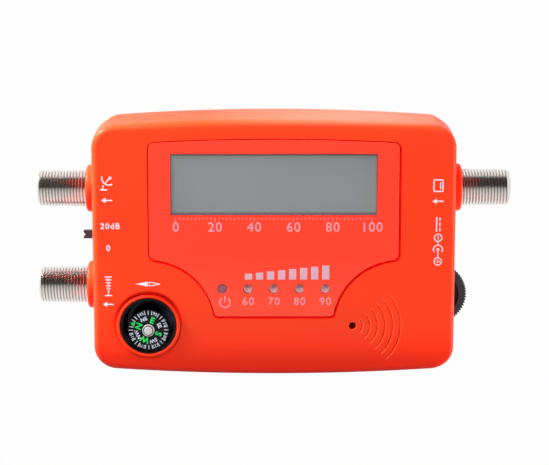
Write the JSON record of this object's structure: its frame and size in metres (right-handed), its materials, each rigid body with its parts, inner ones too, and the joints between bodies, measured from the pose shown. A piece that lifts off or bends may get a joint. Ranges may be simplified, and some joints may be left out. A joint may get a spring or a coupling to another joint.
{
  "type": "satellite signal meter",
  "caption": "Handheld satellite signal meter with display, lamp row, compass, sounder, attenuator switch, gain wheel and threaded coaxial ports.",
  "frame": {"origin": "middle of the flat back of the case, on the surface that the meter lies on", "axes": "+X to the right-hand side (receiver port), +Y to the top side, +Z out of the face"},
  "size_m": [0.1226, 0.0674, 0.0289],
  "materials": {
    "case_plastic": "semi-gloss moulded plastic, orange-red",
    "panel_film": "smooth printed overlay, orange-red",
    "clear_plastic": "clear moulded plastic",
    "display_glass": "grey-green display, unlit",
    "white_plastic": "white plastic",
    "black_plastic": "black moulded plastic",
    "card_black": "black printed card, white and green marks",
    "lamp_lens": "water-clear lamp lens, unlit",
    "tinted_lens": "dull purple-grey lamp lens, unlit",
    "nickel_plate": "bright nickel plate",
    "screw_steel": "zinc-plated steel",
    "tin_plate": "tin-plated steel sheet",
    "contact_brass": "plain brass",
    "hub_metal": "beige-silver turned metal",
    "wheel_plastic": "dark grey knurled plastic",
    "circuit_board": "green glass-epoxy board",
    "phenolic": "brown phenolic base",
    "foam_rubber": "black foam",
    "chip_epoxy": "black moulded epoxy"
  },
  "bodies": {
    "case": {"front_shell": "case_plastic", "back_shell": "case_plastic", "case_screw_1": "screw_steel", "case_screw_2": "screw_steel", "case_screw_3": "screw_steel", "case_screw_4": "screw_steel", "overlay_panel": "panel_film", "window_pane": "clear_plastic", "display_glass": "display_glass", "display_backlight": "white_plastic", "display_frame": "tin_plate", "display_board": "circuit_board", "display_header": "black_plastic", "display_standoff_1": "white_plastic", "display_standoff_2": "white_plastic", "main_board": "circuit_board", "board_screw_1": "screw_steel", "board_screw_2": "screw_steel", "board_screw_3": "screw_steel", "board_screw_4": "screw_steel", "power_lamp": "tinted_lens", "signal_lamp_1": "lamp_lens", "signal_lamp_2": "lamp_lens", "signal_lamp_3": "lamp_lens", "signal_lamp_4": "lamp_lens", "lamp_spacer": "black_plastic", "compass_bowl": "black_plastic", "compass_dome": "clear_plastic", "compass_pivot": "contact_brass", "sounder": "black_plastic", "sound_gasket": "foam_rubber", "satellite_port_body": "nickel_plate", "satellite_port_insulator": "white_plastic", "satellite_port_contact": "contact_brass", "antenna_port_body": "nickel_plate", "antenna_port_insulator": "white_plastic", "antenna_port_contact": "contact_brass", "receiver_port_body": "nickel_plate", "receiver_port_insulator": "white_plastic", "receiver_port_contact": "contact_brass", "switch_body": "tin_plate", "pot_base": "phenolic", "pot_rivet": "contact_brass", "power_inlet": "black_plastic", "power_inlet_pin": "nickel_plate", "tuner_can": "tin_plate", "microcontroller": "chip_epoxy", "voltage_regulator": "chip_epoxy", "crystal": "nickel_plate", "capacitor_1": "tin_plate", "capacitor_2": "tin_plate"},
    "attenuator_knob": {"switch_knob": "black_plastic"},
    "gain_dial": {"gain_wheel": "wheel_plastic"},
    "card": {"compass_card": "card_black", "card_hub": "hub_metal", "card_magnet": "tin_plate"}
  },
  "joints": [
    {"name": "attenuator_slide", "type": "slide", "parent": "case", "child": "attenuator_knob", "axis": [0, 1, 0], "range_m": [-0.002, 0]},
    {"name": "gain_turn", "type": "hinge", "parent": "case", "child": "gain_dial", "pos_m": [0.0425, -0.01392, 0.0156], "axis": [0, 0, 1], "range_deg": [-140, 140]},
    {"name": "card_turn", "type": "hinge", "parent": "case", "child": "card", "pos_m": [-0.0323, -0.02125, 0.0264], "axis": [0, 0, 1], "continuous": true}
  ]
}
